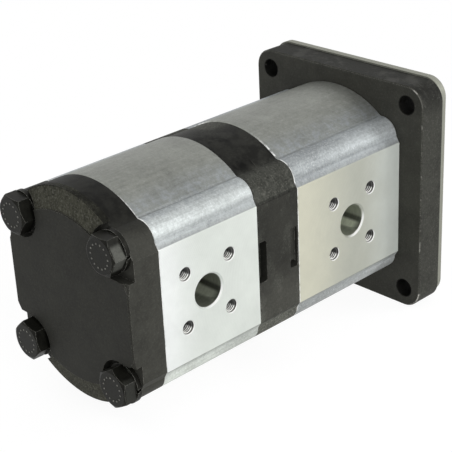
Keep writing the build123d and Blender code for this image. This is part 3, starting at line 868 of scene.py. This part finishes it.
# %% Assign the finishes
own_finish = {
    "rear_cover": cover_iron,
    "intermediate_plate": plate_iron,
    "mounting_flange": flange_iron,
    "front_body": front_aluminium,
    "rear_body": rear_aluminium,
}
slot_of = {part["node"]: part["material_slot"] for part in frame["record"]["subparts"]}


def dress(obj, material):
    """Put one material on an object."""
    obj.data.materials.clear()
    obj.data.materials.append(material)


for name, obj in nodes.items():
    dress(obj, own_finish.get(name) or slot_finish[slot_of[name]])
print("dressed", len(nodes), "nodes")

# %% [markdown]
# ## Geometry Nodes from code
#
# What repeats is grown: a tree of nodes puts a shape on each point of an object, and is built with the
# same `add` as a shader. The result is turned into a plain mesh at once, because the pieces of the
# finished pump carry no modifiers.

# %% Growing on points


def new_tree(name, inputs):
    """A geometry node tree with one output and named inputs, each of a kind."""
    tree = bpy.data.node_groups.new(name, "GeometryNodeTree")
    for way in ("INPUT", "OUTPUT"):
        tree.interface.new_socket("Geometry", in_out=way, socket_type="NodeSocketGeometry")
    for label, kind in inputs.items():
        tree.interface.new_socket(label, in_out="INPUT", socket_type="NodeSocket" + kind)
    return tree


def grown(name, places, headings, tree, values):
    """A plain mesh that a tree grew on points, each with a heading (its rotation in radians)."""
    points = bpy.data.meshes.new(name)
    points.from_pydata(places, [], [])
    points.attributes.new("heading", "FLOAT_VECTOR", "POINT")
    for item, heading in zip(points.attributes["heading"].data, headings):
        item.vector = heading
    obj = new_object(name, points)
    modifier = obj.modifiers.new(tree.name, "NODES")
    modifier.node_group = tree
    for item in tree.interface.items_tree:
        if item.in_out == "INPUT" and item.name in values:
            modifier[item.identifier] = values[item.name]
    graph = bpy.context.evaluated_depsgraph_get()
    mesh = bpy.data.meshes.new_from_object(obj.evaluated_get(graph))
    obj.modifiers.remove(modifier)
    obj.data = mesh
    print(name, len(mesh.polygons), "faces")
    return obj


# %% What every tree ends in


def placed_and_coated(tree, inputs, shape, smooth):
    """Put a shape on each point, turned by its heading, make it real and give it its material."""
    heading = add(tree, "GeometryNodeInputNamedAttribute", {"data_type": "FLOAT_VECTOR"},
                  {"Name": "heading"})
    placed = add(tree, "GeometryNodeInstanceOnPoints", {}, {
        "Points": inputs["Geometry"], "Instance": shape, "Rotation": heading.outputs[0]})
    real = add(tree, "GeometryNodeRealizeInstances", {}, {"Geometry": placed.outputs[0]})
    shaded = add(tree, "GeometryNodeSetShadeSmooth", {}, {
        "Geometry": real.outputs[0], "Shade Smooth": smooth})
    coated = add(tree, "GeometryNodeSetMaterial", {}, {
        "Geometry": shaded.outputs[0], "Material": inputs["Material"]})
    add(tree, "NodeGroupOutput", {}, {"Geometry": coated.outputs[0]})


# %% [markdown]
# ## Screw threads
#
# A thread is one ridge that winds round an axis, so it could be drawn turn by turn, swept along a
# helix, or faked with bump. Swept is best here: the port holes are seen close up, and their ridges
# catch the light. Geometry Nodes have a Spiral for the path, and Curve to Mesh sweeps a triangle
# along it. The same tree serves a tapped hole, whose ridge points inwards, and a screw, whose ridge
# points outwards: only the sizes and the triangle's half turn differ.

# %% The thread tree
steps_per_turn = 22


def thread_tree():
    """A ridge of triangular section wound round +Z from each point, turned by its heading."""
    tree = new_tree("thread_ridge", {
        "Middle Radius": "Float", "Ridge Size": "Float", "Pitch": "Float", "Turns": "Float",
        "Points Out": "Float", "Material": "Material"})
    inputs = add(tree, "NodeGroupInput").outputs
    height = add(tree, "ShaderNodeMath", {"operation": "MULTIPLY"},
                 {0: inputs["Pitch"], 1: inputs["Turns"]})
    path = add(tree, "GeometryNodeCurveSpiral", {}, {
        "Resolution": steps_per_turn, "Rotations": inputs["Turns"],
        "Start Radius": inputs["Middle Radius"], "End Radius": inputs["Middle Radius"],
        "Height": height.outputs[0]})
    upright = add(tree, "GeometryNodeSetCurveNormal", {"mode": "Z_UP"}, {"Curve": path.outputs[0]})
    section = add(tree, "GeometryNodeCurvePrimitiveCircle", {"mode": "RADIUS"},
                  {"Resolution": 3, "Radius": inputs["Ridge Size"]})
    half_turn = add(tree, "ShaderNodeMath", {"operation": "MULTIPLY"},
                    {0: inputs["Points Out"], 1: math.pi})
    turn = add(tree, "ShaderNodeCombineXYZ", {}, {"Z": half_turn.outputs[0]})
    turned = add(tree, "GeometryNodeTransform", {},
                 {"Geometry": section.outputs[0], "Rotation": turn.outputs[0]})
    swept = add(tree, "GeometryNodeCurveToMesh", {}, {
        "Curve": upright.outputs[0], "Profile Curve": turned.outputs[0], "Fill Caps": True})
    placed_and_coated(tree, inputs, swept.outputs[0], smooth=False)
    return tree


def wound(name, places, headings, crest, foot, sunk, pitch, turns, material):
    """A thread from each place, with its crest at one radius and its foot sunk past the other."""
    size = (abs(foot - crest) + sunk) / 1.5
    middle = crest + math.copysign(size, foot - crest)
    return grown(name, places, headings, threads, {
        "Middle Radius": middle * mm, "Ridge Size": size * mm, "Pitch": pitch * mm, "Turns": turns,
        "Points Out": float(crest > foot), "Material": material})


threads = thread_tree()
print("thread tree:", len(threads.nodes), "nodes")

# %% [markdown]
# ## Tapped port holes
#
# Each port has four M6 holes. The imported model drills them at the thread's full 6 mm, so the ridge
# goes inwards from the wall to the core diameter. The ridge is sunk a little into the wall, so that
# no gap shows at its foot.

# %% M6 threads in the port holes
port_pitch = 1.0
port_core_radius = 2.46
port_root_radius = 3.0
port_sunk = 0.22
port_thread_start = 0.75
port_thread_turns = 11.0


def thread_finish():
    """Cut aluminium: painted light on crests low in the hole, painted shade above and further in."""
    finish = Finish("tapped_aluminium")
    depth = side_x - finish.across
    from_hole, _, above_hole = within_tapped_hole(finish)
    crest = from_hole.rise(port_root_radius - 0.05, port_core_radius + 0.14)
    lower = above_hole.rise(-0.6, -1.6)
    # Painted shade higher up and further in; painted light on the lower crests.
    tone = (depth.rise(5.5, 3.0) * 0.96 + 0.04) * (0.08 + lower * (0.06 + crest * 0.86))
    return finish.finish(base_color=finish.shade(linear(255, 255, 250), tone), roughness=0.4,
                         metallic=0.1, specular_ior_level=0.3)


def port_holes():
    """Mouth and heading of each tapped hole of the four ports, from the record's bolt patterns."""
    places, headings = [], []
    for mount in mounts.values():
        if mount["kind"] != "bolt_pattern" or mount["name"] == "flange_bolts":
            continue
        x, y, z = mount["pos_m"]
        side = math.copysign(1, x)
        half = mount["dims"]["spacing_x_mm"] / 2 * mm
        for dy in (-half, half):
            for dz in (-half, half):
                places.append((x - side * port_thread_start * mm, y + dy, z + dz))
                headings.append((0, -side * math.pi / 2, 0))
    return places, headings


port_threads = wound("port_threads", *port_holes(), port_core_radius, port_root_radius, port_sunk,
                     port_pitch, port_thread_turns, thread_finish())
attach(port_threads, "housing")

# %% [markdown]
# ## The shaft's M12 thread
#
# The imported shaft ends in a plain 12 mm cylinder. A screw's ridge stands on a thinner core, so a copy
# of the shaft gets its end drawn in to the core diameter and the ridge is wound on it. The copy
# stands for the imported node, which stays hidden.

# %% A copy of the shaft with a thinner end
shaft_root_radius = 5.08
shaft_crest_radius = 6.0
thread_from = 27.0
thread_to = 43.0
hair = 0.01


def merged_copy(node, name):
    """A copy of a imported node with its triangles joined, smooth faces and sharp edges kept."""
    mesh = nodes[node].data.copy()
    mesh.name = name
    if "custom_normal" in mesh.attributes:
        mesh.attributes.remove(mesh.attributes["custom_normal"])
    work = bmesh.new()
    work.from_mesh(mesh)
    bmesh.ops.remove_doubles(work, verts=work.verts, dist=0.001 * mm)
    for face in work.faces:
        face.smooth = True
    work.to_mesh(mesh)
    work.free()
    mesh.set_sharp_from_angle(angle=math.radians(25))
    return new_object(name, mesh)


def draw_in(obj, start, radius, target):
    """Scale the part of a shaft beyond a station so that its radius becomes the target."""
    for vertex in obj.data.vertices:
        from_axis = math.hypot(vertex.co.x, vertex.co.z)
        if vertex.co.y > (start - hair) * mm and from_axis < (radius + hair) * mm:
            vertex.co.x *= target / radius
            vertex.co.z *= target / radius


threaded_shaft = merged_copy("front_drive_gear", "threaded_shaft")
draw_in(threaded_shaft, thread_from, shaft_crest_radius, shaft_root_radius)
print(threaded_shaft.name, len(threaded_shaft.data.polygons), "faces before its thread")

# %% The thread wound on it
shaft_pitch = 1.5
shaft_sunk = 0.2
winding_from = thread_from + 0.6


def join(obj, other):
    """Add another object's mesh to an object, and remove the other."""
    work = bmesh.new()
    work.from_mesh(obj.data)
    work.from_mesh(other.data)
    work.to_mesh(obj.data)
    work.free()
    bpy.data.objects.remove(other)


shaft_turns = (thread_to - thread_from - shaft_pitch) / shaft_pitch
winding = wound("shaft_winding", [(0, winding_from * mm, 0)], [(-math.pi / 2, 0, 0)],
                shaft_crest_radius, shaft_root_radius, shaft_sunk, shaft_pitch, shaft_turns,
                ground_steel)
join(threaded_shaft, winding)
dress(threaded_shaft, ground_steel)
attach(threaded_shaft, "drive_line")
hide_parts("front_drive_gear")

# %% [markdown]
# ## Marks on the bolt heads
#
# Forged bolt heads carry small raised marks. Here they are a plain ring of dots. They could be
# modelled on one head and copied; a tree that puts a squashed sphere on each point of a ring does
# the four heads at once.

# %% Bolt head marks
mark_ring_radius = 5.3
mark_radius = 0.42
mark_height = 0.25
marks_per_head = 14
turn_between_heads = 0.3


def marks_tree():
    """A ring of small domes round each point, in the plane across Y."""
    tree = new_tree("head_marks", {
        "Ring Radius": "Float", "Dot Radius": "Float", "Dot Height": "Float", "Dots": "Int",
        "Material": "Material"})
    inputs = add(tree, "NodeGroupInput").outputs
    ring = add(tree, "GeometryNodeMeshCircle", {},
               {"Vertices": inputs["Dots"], "Radius": inputs["Ring Radius"]})
    ball = add(tree, "GeometryNodeMeshUVSphere", {}, {"Segments": 10, "Rings": 6, "Radius": 1.0})
    size = add(tree, "ShaderNodeCombineXYZ", {}, {
        "X": inputs["Dot Radius"], "Y": inputs["Dot Radius"], "Z": inputs["Dot Height"]})
    dots = add(tree, "GeometryNodeInstanceOnPoints", {}, {
        "Points": ring.outputs[0], "Instance": ball.outputs[0], "Scale": size.outputs[0]})
    placed_and_coated(tree, inputs, dots.outputs[0], smooth=True)
    return tree


head_places = [(sx * bolt_x * mm, bolts_low.y * mm, (centre_z + sz * bolt_z) * mm)
               for sx in (-1, 1) for sz in (-1, 1)]
head_turns = [(math.pi / 2, turn_between_heads * index, 0) for index in range(len(head_places))]
bolt_head_marks = grown("bolt_head_marks", head_places, head_turns, marks_tree(), {
    "Ring Radius": mark_ring_radius * mm, "Dot Radius": mark_radius * mm,
    "Dot Height": mark_height * mm, "Dots": marks_per_head, "Material": rubbed_mark})
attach(bolt_head_marks, "housing")

# %% [markdown]
# ## Studio
#
# The floor is pale and the background white. White comes from what the camera and the reflections
# see, not from stronger lamps: in the world and in the floor, Light Path picks a plain white for
# camera, glossy and transmission rays. The floor keeps part of its lit shade near the pump, so that
# the shadow stays. It lies a hair below the flange, because two faces in one plane would flicker.

# %% World
ambient_strength = 0.40

world = bpy.data.worlds.new("studio_world")
world.use_nodes = True
shading = Shading(world.node_tree)
ambient, white = (
    shading.node("ShaderNodeBackground", {}, {"Color": (1, 1, 1, 1), "Strength": strength})
    for strength in (ambient_strength, 1.0))
mixed = shading.node("ShaderNodeMixShader", {},
                     {0: shading.seen_directly(), 1: ambient, 2: white})
feed(shading.tree, world.node_tree.nodes["World Output"].inputs["Surface"], mixed)
bpy.context.scene.world = world
print("ambient light", ambient_strength)

# %% Floor
floor_z = cad_box[0].z - 0.2 * mm
floor_half = 3.0
floor_keep = 0.20
floor_lit = 0.47
shadow_middle_y = -70
shadow_from = 150.0
shadow_to = 330.0

mesh = bpy.data.meshes.new("studio_floor")
corners = [(-floor_half, -floor_half), (floor_half, -floor_half),
           (floor_half, floor_half), (-floor_half, floor_half)]
mesh.from_pydata([(x, y, floor_z) for x, y in corners], [], [(0, 1, 2, 3)])
floor = new_object("studio_floor", mesh)
finish = Finish("studio_floor")
finish.finish(base_color=(0.86, 0.86, 0.86, 1), roughness=0.9, specular_ior_level=0.1)
distance = finish.length(finish.x, finish.y - shadow_middle_y)
keep = distance.rise(shadow_to, shadow_from) * floor_keep
white = finish.node("ShaderNodeEmission", {},
                    {"Strength": (1 - keep * floor_lit) / (1 - keep)})
lit = Value(finish, finish.shader.outputs["BSDF"])
mixed = finish.node("ShaderNodeMixShader", {},
                    {0: finish.seen_directly() * (1 - keep), 1: lit, 2: white})
feed(finish.tree, finish.tree.nodes["Material Output"].inputs["Surface"], mixed)
dress(floor, finish.material)
print("floor at z", round(floor_z / mm, 2), "mm")

# %% [markdown]
# ## Lamps
#
# Three soft panels: one high behind the right side, whose reflection, with the painted highlight in the
# lobes' colour, makes the bright band along the upper corner lobes; a broad one on the camera's right
# for the port faces; and a weak one from the left, so that the far side isn't dead. Their strength is
# set so that a pale surface stays below white.

# %% Lamps
pump_middle = Vector((0, -0.09, -0.02))


def soft_panel(name, place, size, power):
    """A square area lamp that looks at the pump."""
    lamp = bpy.data.lights.new(name, "AREA")
    lamp.size = size
    lamp.energy = power
    obj = new_object(name, lamp)
    obj.location = place
    obj.rotation_euler = (pump_middle - Vector(place)).to_track_quat("-Z", "Y").to_euler()
    print(name, power, "W")


soft_panel("panel_behind_right", (0.62, 0.50, 0.40), 0.30, 1.6)
soft_panel("panel_right", (1.05, -0.35, 0.35), 0.7, 6.0)
soft_panel("panel_left", (-0.7, -0.5, 0.6), 0.6, 1.5)
bpy.context.scene.view_settings.view_transform = "Standard"
